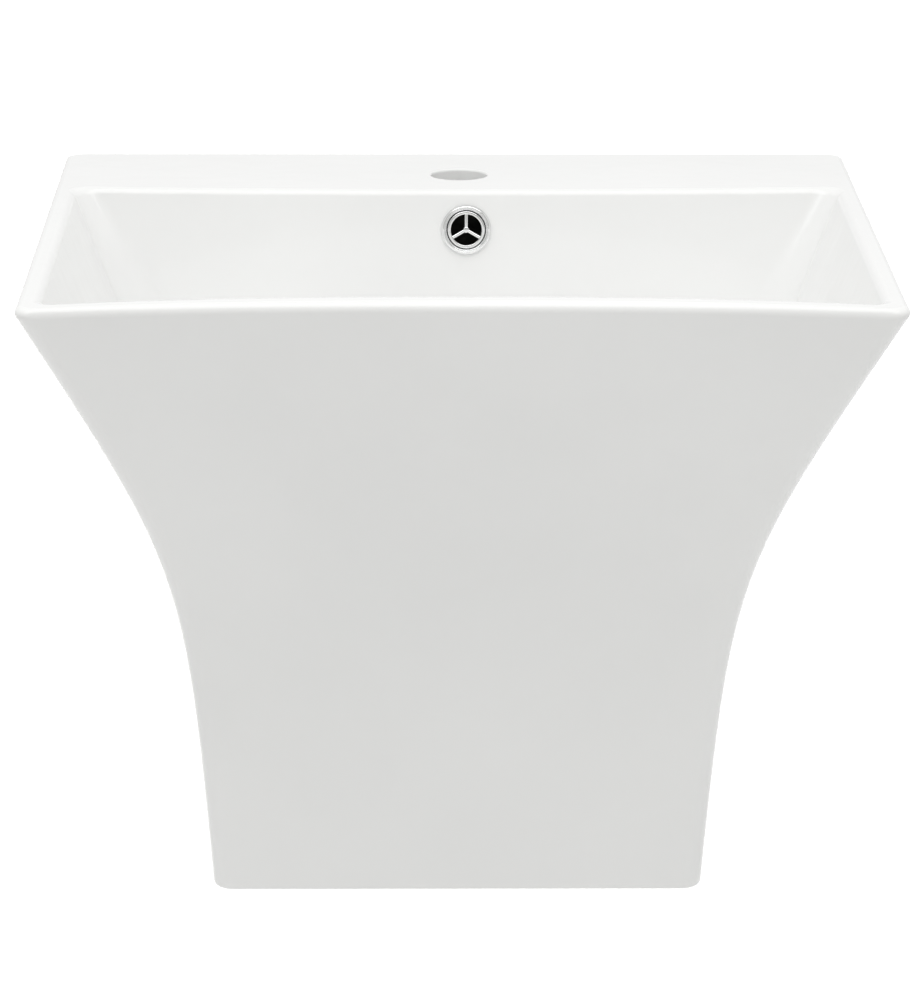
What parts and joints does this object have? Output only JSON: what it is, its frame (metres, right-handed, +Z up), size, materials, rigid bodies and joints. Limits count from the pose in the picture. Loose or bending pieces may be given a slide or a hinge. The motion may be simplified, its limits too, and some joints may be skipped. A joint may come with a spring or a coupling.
{
  "type": "wall-hung washbasin with integral half pedestal",
  "caption": "Square one-piece ceramic basin flaring up from an integral half pedestal, with overflow, push plug, bottle trap and wall fixings.",
  "frame": {"origin": "on the wall plane, midway between the two wall fixing holes, 95 mm below the rim", "axes": "+Z up, +X to the right of a person standing at the basin, +Y into the wall"},
  "size_m": [0.5, 0.5158, 0.41],
  "materials": {
    "glaze": "gloss white sanitary glaze",
    "chrome": "polished chrome plate",
    "black_rubber": "matt black rubber",
    "white_plastic": "white moulded polypropylene",
    "grey_plastic": "grey nylon",
    "zinc_steel": "bright zinc plate",
    "spring_steel": "drawn stainless wire"
  },
  "bodies": {
    "basin": {"ceramic_body": "glaze", "overflow_ring": "chrome", "overflow_grid": "chrome", "overflow_sleeve": "black_rubber", "waste_body": "chrome", "waste_flange_gasket": "black_rubber", "waste_lower_gasket": "black_rubber", "waste_washer": "white_plastic", "waste_backnut": "chrome", "click_cartridge": "white_plastic", "click_spring": "spring_steel", "trap_union_gasket": "black_rubber", "trap_union_nut": "white_plastic", "trap_dip_tube": "white_plastic", "trap_top_nut": "white_plastic", "trap_top_seal": "black_rubber", "trap_body": "white_plastic", "trap_outlet_nut": "white_plastic", "trap_outlet_seal": "black_rubber", "trap_outlet_pipe": "white_plastic", "hanger_bolt_left": "zinc_steel", "hanger_bolt_right": "zinc_steel", "wall_plug_left": "grey_plastic", "wall_plug_right": "grey_plastic", "fixing_sleeve_left": "white_plastic", "fixing_sleeve_right": "white_plastic", "fixing_washer_left": "zinc_steel", "fixing_washer_right": "zinc_steel", "fixing_nut_left": "zinc_steel", "fixing_nut_right": "zinc_steel"},
    "plug": {"plug_cap": "chrome", "plug_gasket": "black_rubber", "plug_plunger": "zinc_steel"},
    "cup_seal": {"trap_cup_seal": "black_rubber"},
    "cup": {"trap_cup": "white_plastic"},
    "pipe_flange": {"wall_flange": "chrome"}
  },
  "joints": [
    {"name": "plug_press", "type": "slide", "parent": "basin", "child": "plug", "axis": [0, 0, 1], "range_m": [-0.009, 0], "stiffness_N_per_m": 300, "springref_m": 0.01, "deforming": ["click_spring"]},
    {"name": "cup_drop", "type": "slide", "parent": "basin", "child": "cup_seal", "axis": [0, 0, 1], "range_m": [-0.0091, 0]},
    {"name": "cup_turn", "type": "hinge", "parent": "cup_seal", "child": "cup", "pos_m": [0, -0.212, -0.23], "axis": [0, 0, -1], "range_deg": [0, 1080]},
    {"name": "flange_slide", "type": "slide", "parent": "basin", "child": "pipe_flange", "axis": [0, -1, 0], "range_m": [0, 0.06]}
  ],
  "couplings": [
    {"joint": "cup_drop", "follows": "cup_turn", "m_per_rad": -0.00047746}
  ]
}
